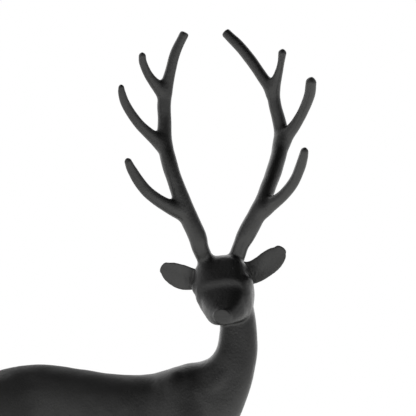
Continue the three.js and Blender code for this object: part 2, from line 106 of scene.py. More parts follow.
# A foreleg and a hind leg: the middle (x, y, z), half the length and half the width of each level section.
FORELEG = (
    ((66, 12, 185), 3, 2),
    ((66, 14.5, 181), 9, 6),
    ((67, 17.2, 173), 13, 8.8),
    ((68.5, 19, 163), 15.5, 10.2),
    ((70.5, 19.7, 151), 17.5, 11),
    ((74, 19.2, 139), 17.5, 11),
    ((77, 18.5, 125), 15, 10),
    ((78.5, 18, 107), 10.5, 8),
    ((79.5, 18, 88), 7.6, 6.6),
    ((80.5, 18, 72), 6.8, 6.2),
    ((80.5, 18, 62), 5.6, 5.2),
    ((80, 18, 48), 4.5, 4.3),
    ((80, 18, 30), 4.4, 4.2),
    ((80.8, 18, 20), 5.5, 5.2),
    ((82.5, 18, 13), 5.1, 4.9),
)
HIND_LEG = (
    ((-62, 9, 190), 3, 2),
    ((-63, 13, 186), 12, 6),
    ((-64, 17, 177), 22, 9.5),
    ((-65, 19.5, 161), 28, 12),
    ((-64, 19.5, 143), 26, 12),
    ((-66, 19, 127), 20, 10.5),
    ((-73, 18.5, 111), 13.5, 8.5),
    ((-82, 18, 95), 9.4, 6.8),
    ((-90, 18, 81), 7.6, 5.7),
    ((-92.5, 18, 72), 7, 5.4),
    ((-92, 18, 62), 5.7, 4.9),
    ((-90, 18, 46), 4.8, 4.4),
    ((-88.5, 18, 29), 4.6, 4.3),
    ((-88, 18, 20), 5.6, 5.2),
    ((-86.3, 18, 13), 5.2, 4.9),
)
# Each leg: its sections, its side (-1 right, 1 left) and how far its foot stands ahead
LEGS = ((FORELEG, -1, 2), (FORELEG, 1, -7), (HIND_LEG, -1, -3), (HIND_LEG, 1, 8))

# Hoof, from the hair line to the sole: half the length, half the width, how far ahead of the leg it lies,
# and the height
HOOF = ((5.4, 5, 0.4, 11.5), (6.6, 5.9, 1.6, 8), (7.8, 6.5, 2.8, 3.5), (8.4, 6.7, 3.4, 0))
CLEFT_WIDE, CLEFT_DEEP, CLEFT_HIGH = 1.3, 8.0, 8.5  # the cleft in the front of each hoof
CLEFT_OVER = 3.0  # how far the cleft's cut runs on past the hoof
LEG_SUNK = 4.5  # how far a leg's last section goes down into its hoof

# Tail: the middle (x, z), half the width and half the thickness
TAIL = (
    ((-86, 178), 5, 5),
    ((-95, 172), 6, 4.5),
    ((-101.5, 162), 6.2, 3.6),
    ((-103.5, 151), 4.8, 2.8),
    ((-102, 142), 2, 1.4),
)

# Head, in its own frame: ahead along the muzzle, top and bottom from the middle of the skull, half the
# width, how much it narrows towards the jaw, and how square it is.
HEAD_AT = (102.1, -1, 259.5)  # the middle of the skull
HEAD_YAW = 12  # degrees past square to the trunk
HEAD_ROLL = 8  # degrees, its left side up
HEAD_DRIFT = -0.1  # how far its middle drifts to its left with height, as a share of the height
SKULL = (
    (-16, 9, -14, 10, 0, 2),
    (-12, 17, -20, 17.2, 0.06, 2.2),
    (-5, 22.2, -26, 20.8, 0.12, 2.5),
    (0, 22, -28, 21.5, 0.16, 2.9),
    (4, 20, -28.4, 21.5, 0.18, 3.2),
    (8, 15.4, -28.6, 21.3, 0.2, 3.5),
    (12, 10.4, -28, 20.5, 0.23, 3.8),
    (15, 6.8, -26.8, 19.2, 0.26, 3.8),
    (16.6, 4.4, -25.4, 17.7, 0.27, 3.5),
    (17.2, 1.5, -23.6, 15, 0.28, 3),
)
MUZZLE = (
    (6, -1, -27, 14, 0.02, 3.2),
    (14, -1.4, -28.2, 16.2, 0.08, 3.6),
    (18, -3.6, -28.8, 16.2, 0.1, 3.8),
    (22.5, -9, -29.3, 14.2, 0.1, 3.6),
    (27.5, -14.4, -29.5, 10.4, 0.08, 3.4),
    (30.3, -17, -29.6, 7.8, 0.04, 3),
    (32, -18, -29.4, 5.8, 0, 2.4),
)
# The nose pad: its middle in the head's frame, half its width and height, its depth and its bevel
NOSE_AHEAD, NOSE_UP = 32.4, -23.2
NOSE_WIDE, NOSE_HIGH, NOSE_DEPTH, NOSE_BEVEL = 6.8, 6, 2.2, 0.9
NOSE_TILT = 8  # degrees that the pad faces down
# An eye: its middle in the head's frame, half its length and height, and how far it stands out
EYE_AHEAD, EYE_UP, EYE_SIDE = 7, 1, 20.2
EYE_LONG, EYE_HIGH, EYE_PROUD = 6, 4.5, 2.6
EYE_RINGS = 16
EYE_END = 0.05  # how near an eye's first ring lies to its corner, as an angle

# Ears: the middle line (x, y, z), half the height of the leaf and half its thickness
RIGHT_EAR = (
    ((93, 7, 263), 5, 4),
    ((85, 6.2, 264), 6.2, 3.4),
    ((77, 5.3, 264.3), 8.1, 3),
    ((69, 4.3, 266.1), 9, 2.8),
    ((61.8, 3.3, 269.8), 7.4, 2.5),
    ((57.2, 2.7, 272.6), 4.5, 2),
)
LEFT_EAR = (
    ((115.5, 9.5, 268), 8.4, 4),
    ((123.8, 8.5, 269.2), 8.5, 3.4),
    ((130.8, 7, 273), 8.5, 3),
    ((137, 5.5, 277.8), 8.5, 2.8),
    ((142, 4.2, 282.5), 7, 2.5),
    ((144.6, 3.5, 286), 4.5, 2),
)
EAR_CUP = 0.9  # how far an ear's upper rim curls forward, and its lower rim back
EAR_CUP_FULL = 1 / 3  # how far along the ear the curl is full, as a share of its length
EAR_SQUARE = 2  # how square its section is
EAR_FRONT = 0.12  # how full its front is, as a share of its back
EAR_LEAN = 0.12  # how far its upper rim leans forward, as a share of its height
EAR_TIP_DEPTH = 0.55  # how far its tip rounds out, as a share of its half height

# Antlers: the middle line (x, y, z) and radius of each beam, then of its tines from the lowest up
ANTLERS = (
    (
        ((94, 7, 266), 5),
        ((88.4, 4, 278), 5.7),
        ((84.2, -0.4, 287.5), 6.1),
        ((81.4, -2.3, 297.5), 6.7),
        ((73.4, -2.6, 315.5), 6.5),
        ((65.6, -1.8, 337), 5.6),
        ((61.1, 1, 350.7), 5.6),
        ((57.5, 7, 367), 5.3),
        ((57.3, 11.5, 382.5), 4.9),
        ((56.9, 13, 396), 4.9),
        ((59, 13, 409.5), 4.5),
        ((62, 12.5, 422), 3.8),
        ((65.6, 12, 435), 3.6),
        ((71.2, 11.5, 446.6), 3.3),
    ),
    (
        ((74, -2, 313), 2.5),
        ((68.5, -3.5, 315), 5.2),
        ((62.3, -6, 317.8), 5.1),
        ((53.2, -10, 323), 4.4),
        ((45.2, -13.5, 329.2), 4.2),
        ((38.2, -17, 337.4), 3.9),
        ((32.7, -21.5, 346.4), 3.3),
        ((30, -25.5, 352.6), 2.5),
    ),
    (
        ((58.5, 7, 362), 2.5),
        ((54.5, 7, 365.5), 4.5),
        ((49.6, 5.5, 370), 4.3),
        ((40.4, 2, 378.2), 3.6),
        ((33.5, -2, 386.6), 3.3),
        ((28.1, -6, 395.6), 3),
        ((25.4, -10, 403.6), 2.6),
        ((24.9, -12.5, 408.2), 1.9),
    ),
    (
        ((58, 13, 403), 2),
        ((54.5, 12, 406), 4),
        ((50.6, 10, 410.4), 3.8),
        ((44.8, 6.5, 418.2), 3),
        ((41.2, 2.5, 426.6), 2.7),
        ((40.6, -0.5, 432), 2.4),
    ),
    (
        ((107, 7, 268), 5),
        ((111.6, 4, 281), 5.8),
        ((114.6, 0.6, 289.5), 5.7),
        ((118.5, -1.6, 297.5), 6.6),
        ((127, -3.2, 313.5), 6.4),
        ((131.2, -0.8, 322.5), 6),
        ((134.5, 4.8, 331.5), 5.6),
        ((140.2, 17, 347), 5.7),
        ((144.3, 28, 362), 5.6),
        ((145, 34.5, 376), 5),
        ((141, 35.5, 393), 4.5),
        ((138.2, 36, 405.5), 4.6),
        ((131.4, 37.5, 416), 4.1),
        ((122.1, 40.5, 429.5), 4),
        ((113, 43, 440.5), 3.8),
        ((105, 45, 448.6), 3.5),
    ),
    (
        ((126.5, -2.5, 313.5), 2.5),
        ((131.5, -3.6, 316.2), 5.3),
        ((137.4, -5.5, 320), 4.9),
        ((146, -10, 326.8), 4),
        ((153.5, -14.5, 336), 3.8),
        ((158.2, -19, 346), 3.7),
        ((160.9, -24, 355), 3.3),
        ((162, -27, 360.2), 2.6),
    ),
    (
        ((143, 29.5, 361), 2.5),
        ((146.2, 30, 367), 4.8),
        ((150.5, 29, 373), 4.6),
        ((157, 25.5, 382), 3.8),
        ((162.1, 21, 391.5), 3.7),
        ((166.1, 15, 402), 3.9),
        ((167.6, 9, 412.5), 3.7),
    ),
    (
        ((137.5, 36, 402.5), 2),
        ((139, 35, 407), 4),
        ((140.6, 33, 411.5), 3.8),
        ((143, 30, 419), 2.8),
        ((144.9, 26.5, 427), 2.3),
        ((146, 22.5, 434.6), 2.8),
    ),
)

# Hollows pressed into the fused form, on both flanks: from and to (x, y, z), the radius and the depth at
# the middle, which is below nought for a swell
HOLLOWS = (
    ((92, 19, 183), (101, 17, 192), 8, -0.9),  # the swell at the foot of the neck
    ((45, 27, 182), (44, 27, 150), 8, 1.2),  # behind the shoulder
    ((-30, 24, 150), (-38, 22, 136), 12, 1.8),  # the flank ahead of the thigh
    ((-52, 20, 192), (-40, 22, 188), 9, 0.8),  # under the hip bone
)

# Facets round each form and steps between its stations
BODY_SIDES, BODY_STEPS = 96, 12
HEAD_SIDES, HEAD_STEPS = 72, 8
LEG_SIDES, LEG_STEPS = 48, 8
TUBE_SIDES, TUBE_STEPS = 32, 8
TIP_RINGS = 9  # the rings that round off a tip
BASE_SIDES, EDGE_RINGS = 96, 7  # facets round the base, and rings over each of its edges

TIP_CLOSE = 0.97  # how far round a tip its last ring lies, as a share of a quarter turn
TIP_DEPTH = 1.0  # how far the tip of a beam or tine rounds out, as a share of its radius
# How blunt the tips of beams and tines are, where 2 is half a ball
TIP_SQUARE = {"antler": 4, "tine": 1.4}
BEAM_ROOT = 20  # a beam starts lower than this above the head's middle, and a tine higher

# The box that the lattice fills, in mm
CLAY_LOW = (-112, -46, -2)
CLAY_HIGH = (176, 54, DRAWN_HEIGHT + 4)

# How wide the fillet is, in mm, where each form meets the rest
FILLET = {
    "leg": 5.0,
    "hoof": 1.2,
    "tail": 5.0,
    "skull": 3.0,
    "muzzle": 3.0,
    "nose": 0.8,
    "eye": 2.5,
    "ear": 1.6,
    "antler": 3.5,
    "tine": 5.0,
}


def linear(hex_colour):
    """An sRGB hex colour as linear red, green, blue and alpha."""
    channels = [int(hex_colour[i : i + 2], 16) / 255 for i in (1, 3, 5)]
    return [c / 12.92 if c <= 0.04045 else ((c + 0.055) / 1.055) ** 2.4 for c in channels] + [1.0]


class StagSizes(bpy.types.PropertyGroup):
    """Sizes of the casting's skin."""

    grain: FloatProperty(
        name="Form grain",
        description="Pitch of the lattice that the limbs are fused on",
        default=0.6 * MM,
        min=0.5 * MM,
        max=3 * MM,
        subtype="DISTANCE",
        unit="LENGTH",
    )
    faces: IntProperty(
        name="Faces",
        description="Most triangles in the finished casting",
        default=190000,
        min=20000,
        max=199000,
    )
    waviness: FloatProperty(
        name="Waviness",
        description="How far the sand-cast skin wanders from its true form",
        default=0.22 * MM,
        min=0,
        max=1 * MM,
        subtype="DISTANCE",
        unit="LENGTH",
    )
    wave_length: FloatProperty(
        name="Wave length",
        description="Spacing of that wandering",
        default=9 * MM,
        min=2 * MM,
        max=40 * MM,
        subtype="DISTANCE",
        unit="LENGTH",
    )


class BaseSizes(bpy.types.PropertyGroup):
    """Sizes of the base's finish. Its length, width and thickness come from the frame."""

    edge: FloatProperty(
        name="Edge rounding",
        description="Radius of the base's upper and lower edges",
        default=3 * MM,
        min=0.5 * MM,
        max=5 * MM,
        subtype="DISTANCE",
        unit="LENGTH",
    )


class StudioSizes(bpy.types.PropertyGroup):
    """The camera's place and what it shows."""

    distance: FloatProperty(
        name="Camera distance",
        description="From the camera to the figure's middle plane",
        default=6.0,
        min=2.0,
        max=12.0,
        subtype="DISTANCE",
        unit="LENGTH",
    )
    shown_width: FloatProperty(
        name="Width shown",
        description="Width of the picture at the figure's middle plane",
        default=312 * MM,
        min=0.1,
        max=2.0,
        subtype="DISTANCE",
        unit="LENGTH",
    )
    aim: FloatVectorProperty(
        name="Aim",
        description="The point in the middle of the picture",
        default=(0.0890, 0.0, 0.3296),
        size=3,
        subtype="XYZ",
        unit="LENGTH",
    )


def catmull_rom(rows, steps):
    """Rows of numbers to finer ones, on a smooth curve through every row, with steps to each span."""
    rows = np.array(rows, float)
    padded = np.vstack([2 * rows[0] - rows[1], rows, 2 * rows[-1] - rows[-2]])
    t = np.arange((len(rows) - 1) * steps + 1) / steps
    span = np.minimum(t.astype(int), len(rows) - 2)
    u = (t - span)[:, None]
    a, b, c, d = (padded[span + i] for i in range(4))
    return 0.5 * (2 * b + (c - a) * u + (2 * a - 5 * b + 4 * c - d) * u**2 + (3 * b - a - 3 * c + d) * u**3)


def flat(stations):
    """Stations with nested tuples as plain rows of numbers."""
    return [[n for part in s for n in (part if isinstance(part, tuple) else (part,))] for s in stations]


def rings(centres, ups, acrosses, sides, square=2.0, taper=0.0):
    """Rings of points, one for each centre, with half axes ups and acrosses."""
    angle = 2 * np.pi * np.arange(sides) / sides
    power = 2 / np.broadcast_to(square, len(centres))[:, None]
    narrowing = np.broadcast_to(taper, len(centres))[:, None]
    rise = np.sign(np.cos(angle)) * np.abs(np.cos(angle)) ** power
    reach = np.sign(np.sin(angle)) * np.abs(np.sin(angle)) ** power
    reach = reach * (1 + narrowing * np.minimum(rise, 0))
    return centres[:, None] + rise[..., None] * ups[:, None] + reach[..., None] * acrosses[:, None]


def skin(ring_points):
    """Points and triangles of the closed form through the rings."""
    count, sides = ring_points.shape[:2]
    points = np.vstack([ring_points.reshape(-1, 3), ring_points[0].mean(0), ring_points[-1].mean(0)])
    k = np.arange(sides)
    after = (k + 1) % sides
    last = (count - 1) * sides
    row = (np.arange(count - 1) * sides)[:, None]
    start = np.full(sides, count * sides)
    walls = [
        np.stack([row + k, row + after, row + sides + after], -1).reshape(-1, 3),
        np.stack([row + k, row + sides + after, row + sides + k], -1).reshape(-1, 3),
    ]
    ends = [np.stack([start, after, k], -1), np.stack([start + 1, last + k, last + after], -1)]
    return points, np.vstack(walls + ends)


def headings(centres):
    """Unit directions along a middle line."""
    along = np.gradient(centres, axis=0)
    return along / np.linalg.norm(along, axis=1, keepdims=True)


def rounded(centres, sizes, depth, square=2.0):
    """A middle line and its sizes, with steps added that round off the far end.

    The tip is blunter with a higher square."""
    along = headings(centres)[-1]
    angle = np.linspace(0, np.pi / 2, TIP_RINGS + 1)[1:] * TIP_CLOSE
    reach = np.sin(angle) ** (2 / square) * depth * sizes[-1, 0]
    left = np.cos(angle) ** (2 / square)
    longer = np.vstack([centres, centres[-1] + reach[:, None] * along])
    return longer, np.vstack([sizes, left[:, None] * sizes[-1]])


def trunk_and_neck():
    """The trunk and the neck, in one form from the rump to the poll."""
    rows = catmull_rom(flat(TRUNK_AND_NECK), BODY_STEPS)
    back = np.stack([rows[:, 0], rows[:, 5], rows[:, 1]], 1)
    front = np.stack([rows[:, 2], rows[:, 5], rows[:, 3]], 1)
    across = np.stack([0 * rows[:, 4], -rows[:, 4], 0 * rows[:, 4]], 1)
    return skin(rings((back + front) / 2, (back - front) / 2, across, BODY_SIDES, rows[:, 6]))


def level_rings(centres, long, wide):
    """Level oval rings, one for each centre."""
    none = 0 * long
    return rings(centres, np.stack([long, none, none], 1), np.stack([none, -wide, none], 1), LEG_SIDES)


def leg_forms(stations, side, stride):
    """The limb, its hoof, and the place of its last section."""
    top = stations[0][0][2]
    rows = catmull_rom(flat(stations), LEG_STEPS)
    centres = rows[:, :3] * (1, side, 1)
    centres[:, 0] += stride * (1 - centres[:, 2] / top)
    ankle = centres[-1]
    inside_hoof = ankle - (0, 0, LEG_SUNK)
    sizes = np.vstack([rows[:, 3:], rows[-1, 3:]])
    limb = skin(level_rings(np.vstack([centres, inside_hoof]), sizes[:, 0], sizes[:, 1]))
    rows = catmull_rom(HOOF, LEG_STEPS)
    middle = np.stack([ankle[0] + rows[:, 2], np.full(len(rows), ankle[1]), rows[:, 3]], 1)
    return limb, skin(level_rings(middle, rows[:, 0], rows[:, 1])), ankle


def tail_form():
    """The tail, a tapered leaf that hangs down behind."""
    rows = catmull_rom(flat(TAIL), LEG_STEPS)
    centres = np.stack([rows[:, 0], 0 * rows[:, 0], rows[:, 1]], 1)
    across = np.stack([0 * rows[:, 2], rows[:, 2], 0 * rows[:, 2]], 1)
    up = np.cross(across, headings(centres))
    up *= (rows[:, 3] / np.linalg.norm(up, axis=1))[:, None]
    return skin(rings(centres, up, across, LEG_SIDES))


HEAD_FRAME = (
    Matrix.Translation(HEAD_AT)
    @ Matrix.Rotation(math.radians(-90 - HEAD_YAW), 4, "Z")
    @ Matrix.Rotation(math.radians(HEAD_ROLL), 4, "X")
    @ Matrix(((1, 0, 0, 0), (0, 1, HEAD_DRIFT, 0), (0, 0, 1, 0), (0, 0, 0, 1)))
)


def in_head(points):
    """Points of the head's own frame, in the figure's."""
    m = np.array(HEAD_FRAME)
    return points @ m[:3, :3].T + m[:3, 3]


def head_form(stations):
    """The skull or the muzzle, from its upright sections."""
    rows = catmull_rom(stations, HEAD_STEPS)
    none = 0 * rows[:, 0]
    centres = np.stack([rows[:, 0], none, (rows[:, 1] + rows[:, 2]) / 2], 1)
    up = np.stack([none, none, (rows[:, 1] - rows[:, 2]) / 2], 1)
    across = np.stack([none, -rows[:, 3], none], 1)
    points, faces = skin(rings(centres, up, across, HEAD_SIDES, rows[:, 5], rows[:, 4]))
    return in_head(points), faces


def nose_form():
    """The flat oval pad on the end of the muzzle, with a bevelled edge."""
    profile = np.array(
        [
            (0, -NOSE_DEPTH),
            (0, NOSE_DEPTH / 2 - NOSE_BEVEL),
            (NOSE_BEVEL, NOSE_DEPTH / 2),
        ]
    )
    inset = profile[:, 0]
    none = 0 * inset
    centres = np.stack([profile[:, 1], none, none], 1)
    up = np.stack([none, none, NOSE_HIGH - inset], 1)
    points, faces = skin(rings(centres, up, np.stack([none, inset - NOSE_WIDE, none], 1), HEAD_SIDES))
    tilt = np.array(Matrix.Rotation(math.radians(NOSE_TILT), 3, "Y"))
    return in_head(points @ tilt.T + (NOSE_AHEAD, 0, NOSE_UP)), faces


def eye_form(side):
    """A low swelling at the side of the skull."""
    angle = np.linspace(EYE_END, np.pi - EYE_END, EYE_RINGS)
    size = np.sin(angle)
    none = 0 * angle
    centres = np.stack([EYE_AHEAD - EYE_LONG * np.cos(angle), none + side * EYE_SIDE, none + EYE_UP], 1)
    up = np.stack([none, none, size * EYE_HIGH], 1)
    points, faces = skin(rings(centres, up, np.stack([none, -size * EYE_PROUD, none], 1), HEAD_SIDES // 2))
    return in_head(points), faces


def ear_form(line):
    """A leaf that stands across the view along Y, its upper rim curled forward."""
    rows = catmull_rom(flat(line), TUBE_STEPS)
    centres, sizes = rounded(rows[:, :3], rows[:, 3:], EAR_TIP_DEPTH)
    along = headings(centres)
    up = np.cross((0, 1, 0), along)
    up /= np.linalg.norm(up, axis=1, keepdims=True)
    across = np.cross(along, up) * sizes[:, 1:]
    shaped = rings(centres, up * sizes[:, :1], across, LEG_SIDES, EAR_SQUARE)
    rise = np.cos(2 * np.pi * np.arange(LEG_SIDES) / LEG_SIDES)
    curl = rise * np.abs(rise)
    cup = EAR_CUP * np.clip(np.linspace(0, 1 / EAR_CUP_FULL, len(centres)), 0, 1)[:, None]
    bulge = shaped[..., 1] - centres[:, 1:2]
    shaped[..., 1] -= np.where(bulge < 0, (1 - EAR_FRONT) * bulge, 0)
    shaped[..., 1] -= cup * curl * np.minimum(1, sizes[:, :1] / sizes[0, 0])
    shaped[..., 1] -= EAR_LEAN * (shaped[..., 2] - centres[:, 2:])
    return skin(shaped)


def node_with(tree, kind, inputs=None, **settings):
    """Adds a node with its settings, and the values of its inputs by name or number."""
    node = tree.nodes.new(kind)
    for key, value in settings.items():
        setattr(node, key, value)
    for key, value in (inputs or {}).items():
        if isinstance(value, bpy.types.NodeSocket):
            tree.links.new(value, node.inputs[key])
        else:
            node.inputs[key].default_value = value
    return node


def tube_tree(material):
    """Geometry nodes that sweep a round section along a curve, as thick as the curve's own radius."""
    tree = bpy.data.node_groups.new("Antler tube", "GeometryNodeTree")
    tree.interface.new_socket("Curve", in_out="INPUT", socket_type="NodeSocketGeometry")
    sides = tree.interface.new_socket("Sides", in_out="INPUT", socket_type="NodeSocketInt")
    sides.default_value = TUBE_SIDES
    tree.interface.new_socket("Mesh", in_out="OUTPUT", socket_type="NodeSocketGeometry")
    start = node_with(tree, "NodeGroupInput")
    section = node_with(
        tree,
        "GeometryNodeCurvePrimitiveCircle",
        {"Resolution": start.outputs["Sides"], "Radius": 1.0},
    )
    radius = node_with(tree, "GeometryNodeInputRadius")
    sweep = node_with(
        tree,
        "GeometryNodeCurveToMesh",
        {
            "Curve": start.outputs["Curve"],
            "Profile Curve": section.outputs["Curve"],
            "Scale": radius.outputs["Radius"],
            "Fill Caps": True,
        },
    )
    real = node_with(tree, "GeometryNodeRealizeInstances", {0: sweep.outputs[0]})
    finish = node_with(tree, "GeometryNodeSetMaterial", {"Geometry": real.outputs[0], "Material": material})
    node_with(tree, "NodeGroupOutput", {0: finish.outputs[0]})
    return tree, sides.identifier


def tube_form(line, tip_square, tree, sides_socket):
    """One beam or tine, swept along its middle line and rounded off at the tip."""
    rows = catmull_rom(flat(line), TUBE_STEPS)
    centres, sizes = rounded(rows[:, :3], rows[:, 3:], TIP_DEPTH, tip_square)
    curve = bpy.data.curves.new("antler line", "CURVE")
    curve.dimensions = "3D"
    spline = curve.splines.new("POLY")
    spline.points.add(len(centres) - 1)
    spline.points.foreach_set("co", np.hstack([centres, np.ones((len(centres), 1))]).ravel())
    spline.points.foreach_set("radius", np.ascontiguousarray(sizes[:, 0]))
    holder = bpy.data.objects.new("antler line", curve)
    bpy.context.scene.collection.objects.link(holder)
    sweep = holder.modifiers.new("Antler tube", "NODES")
    sweep.node_group = tree
    sweep[sides_socket] = TUBE_SIDES
    seen = holder.evaluated_get(bpy.context.evaluated_depsgraph_get())
    mesh = bpy.data.meshes.new_from_object(seen)
    points, faces = mesh_arrays(mesh)
    bpy.data.objects.remove(holder)
    bpy.data.curves.remove(curve)
    bpy.data.meshes.remove(mesh)
    return points, faces


def mesh_arrays(mesh):
    """A mesh's points and triangles."""
    points = np.empty(len(mesh.vertices) * 3)
    mesh.vertices.foreach_get("co", points)
    mesh.calc_loop_triangles()
    faces = np.empty(len(mesh.loop_triangles) * 3, np.int32)
    mesh.loop_triangles.foreach_get("vertices", faces)
    return points.reshape(-1, 3), faces.reshape(-1, 3)


class Clay:
    """The figure as signed distances in mm on a lattice, which forms are pressed onto and hollows into."""

    def __init__(self, low, high, pitch, reach):
        self.pitch = pitch
        self.reach = reach
        self.low = np.floor(np.array(low) / pitch).astype(int)
        self.size = np.ceil(np.array(high) / pitch).astype(int) - self.low + 1
        self.far = np.full(self.size, reach, np.float32)

    def window(self, low, high):
        """The part of the lattice that holds a box, as slices and its first index."""
        a = np.clip(np.floor(np.array(low) / self.pitch).astype(int) - self.low, 0, self.size)
        b = np.clip(np.ceil(np.array(high) / self.pitch).astype(int) - self.low + 1, 0, self.size)
        return tuple(slice(*ends) for ends in zip(a, b)), a + self.low

    def measured(self, form):
        """Distances to a closed form, in its own window."""
        points, faces = form
        spacing = openvdb.createLinearTransform(voxelSize=self.pitch)
        grid = openvdb.FloatGrid.createLevelSetFromPolygons(
            np.ascontiguousarray(points, np.float32),
            triangles=np.ascontiguousarray(faces, np.int32),
            transform=spacing,
            halfWidth=self.reach / self.pitch,
        )
        where, first = self.window(points.min(0) - self.reach, points.max(0) + self.reach)
        dist = np.full([s.stop - s.start for s in where], self.reach, np.float32)
        grid.copyToArray(dist, ijk=tuple(int(i) for i in first))
        return where, dist

    def add(self, form, fillet):
        """Joins a closed form on, with a soft fillet that wide where it meets what is there."""
        where, dist = self.measured(form)
        there = self.far[where]
        near = np.clip(1 - np.abs(there - dist) / fillet, 0, 1)
        self.far[where] = np.minimum(there, dist) - near**2 * fillet / 4

    def cut(self, form):
        """Cuts a closed form away."""
        where, dist = self.measured(form)
        self.far[where] = np.maximum(self.far[where], -dist)

    def coordinates(self, where, first):
        """The places in mm of a window's lattice points, as x, y and z."""
        counts = [s.stop - s.start for s in where]
        return np.meshgrid(*[(f + np.arange(n)) * self.pitch for f, n in zip(first, counts)], indexing="ij")

    def press(self, start, end, radius, depth):
        """Presses a soft oval hollow from start to end, that wide round the line and that deep."""
        start, end = np.array(start, float), np.array(end, float)
        middle = (start + end) / 2
        half = np.linalg.norm(end - start) / 2 + radius
        where, first = self.window(middle - half, middle + half)
        offsets = [p - m for p, m in zip(self.coordinates(where, first), middle)]
        line = (end - start) / max(np.linalg.norm(end - start), self.pitch)
        along = sum(o * d for o, d in zip(offsets, line))
        across = sum(o**2 for o in offsets) - along**2
        away = (along / half) ** 2 + across / radius**2
        self.far[where] += (depth * np.clip(1 - away, 0, 1) ** 2).astype(np.float32)

    def surface(self, level):
        """Points, triangles and quads where the distance is that much."""
        grid = openvdb.FloatGrid(self.reach)
        grid.transform = openvdb.createLinearTransform(voxelSize=self.pitch)
        grid.copyFromArray(self.far, ijk=tuple(int(i) for i in self.low))
        return grid.convertToPolygons(isovalue=level, adaptivity=0.0)


def box_form(low, high):
    """A plain box, for a cut."""
    x, y, z = zip(low, high)
    corners = [[(x[i], y[j], zz) for i, j in ((0, 0), (1, 0), (1, 1), (0, 1))] for zz in z]
    return skin(np.array(corners, float)[::-1])


def modelled_clay(pitch, tree, sides_socket):
    """The whole figure, every limb fused to the next."""
    reach = max(FILLET.values()) + pitch
    clay = Clay(CLAY_LOW, CLAY_HIGH, pitch, reach)
    clay.add(trunk_and_neck(), FILLET["leg"])
    ankles = []
    for stations, side, stride in LEGS:
        limb, hoof, ankle = leg_forms(stations, side, stride)
        clay.add(limb, FILLET["leg"])
        clay.add(hoof, FILLET["hoof"])
        ankles.append(ankle)
    clay.add(tail_form(), FILLET["tail"])
    for start, end, radius, depth in HOLLOWS:
        for mirror in ((1, -1, 1), (1, 1, 1)):
            clay.press(np.multiply(start, mirror), np.multiply(end, mirror), radius, depth)
    clay.add(head_form(SKULL), FILLET["skull"])
    clay.add(head_form(MUZZLE), FILLET["muzzle"])
    clay.add(nose_form(), FILLET["nose"])
    for side in (-1, 1):
        clay.add(eye_form(side), FILLET["eye"])
    for line in (RIGHT_EAR, LEFT_EAR):
        clay.add(ear_form(line), FILLET["ear"])
    for line in ANTLERS:
        root = "antler" if line[0][0][2] < HEAD_AT[2] + BEAM_ROOT else "tine"
        clay.add(tube_form(line, TIP_SQUARE[root], tree, sides_socket), FILLET[root])
    for x, y, _ in ankles:
        toe = x + HOOF[-1][2] + HOOF[-1][0]
        low = (toe - CLEFT_DEEP, y - CLEFT_WIDE / 2, -CLEFT_OVER)
        clay.cut(box_form(low, (toe + CLEFT_OVER, y + CLEFT_WIDE / 2, CLEFT_HIGH)))
    return clay


def wander(points, length, seed):
    """A smooth random value between about -1 and 1 at each point, on a lattice of that length."""
    draw = np.random.default_rng(seed)
    low = points.min(0) - length
    size = np.ceil((points.max(0) - low) / length).astype(int) + 3
    lattice = draw.uniform(-1, 1, size)
    place = (points - low) / length
    cell = place.astype(int)
    t = place - cell
    t = t * t * (3 - 2 * t)
    total = np.zeros(len(points))
    for corner in np.ndindex(2, 2, 2):
        share = np.prod(np.where(corner, t, 1 - t), axis=1)
        total += share * lattice[tuple((cell + corner).T)]
    return total


def smooth_object(name, points, faces, material):
    """A smooth-shaded mesh object at the origin, from points in metres."""
    mesh = bpy.data.meshes.new(name)
    mesh.from_pydata(points.tolist(), [], faces)
    mesh.validate()
    mesh.shade_smooth()
    mesh.materials.append(material)
    piece = bpy.data.objects.new(name, mesh)
    bpy.context.scene.collection.objects.link(piece)
    return piece


def applied(piece):
    """Turns a piece's modifiers into its mesh."""
    seen = piece.evaluated_get(bpy.context.evaluated_depsgraph_get())
    old = piece.data
    piece.data = bpy.data.meshes.new_from_object(seen)
    piece.modifiers.clear()
    name = old.name
    bpy.data.meshes.remove(old)
    piece.data.name = name


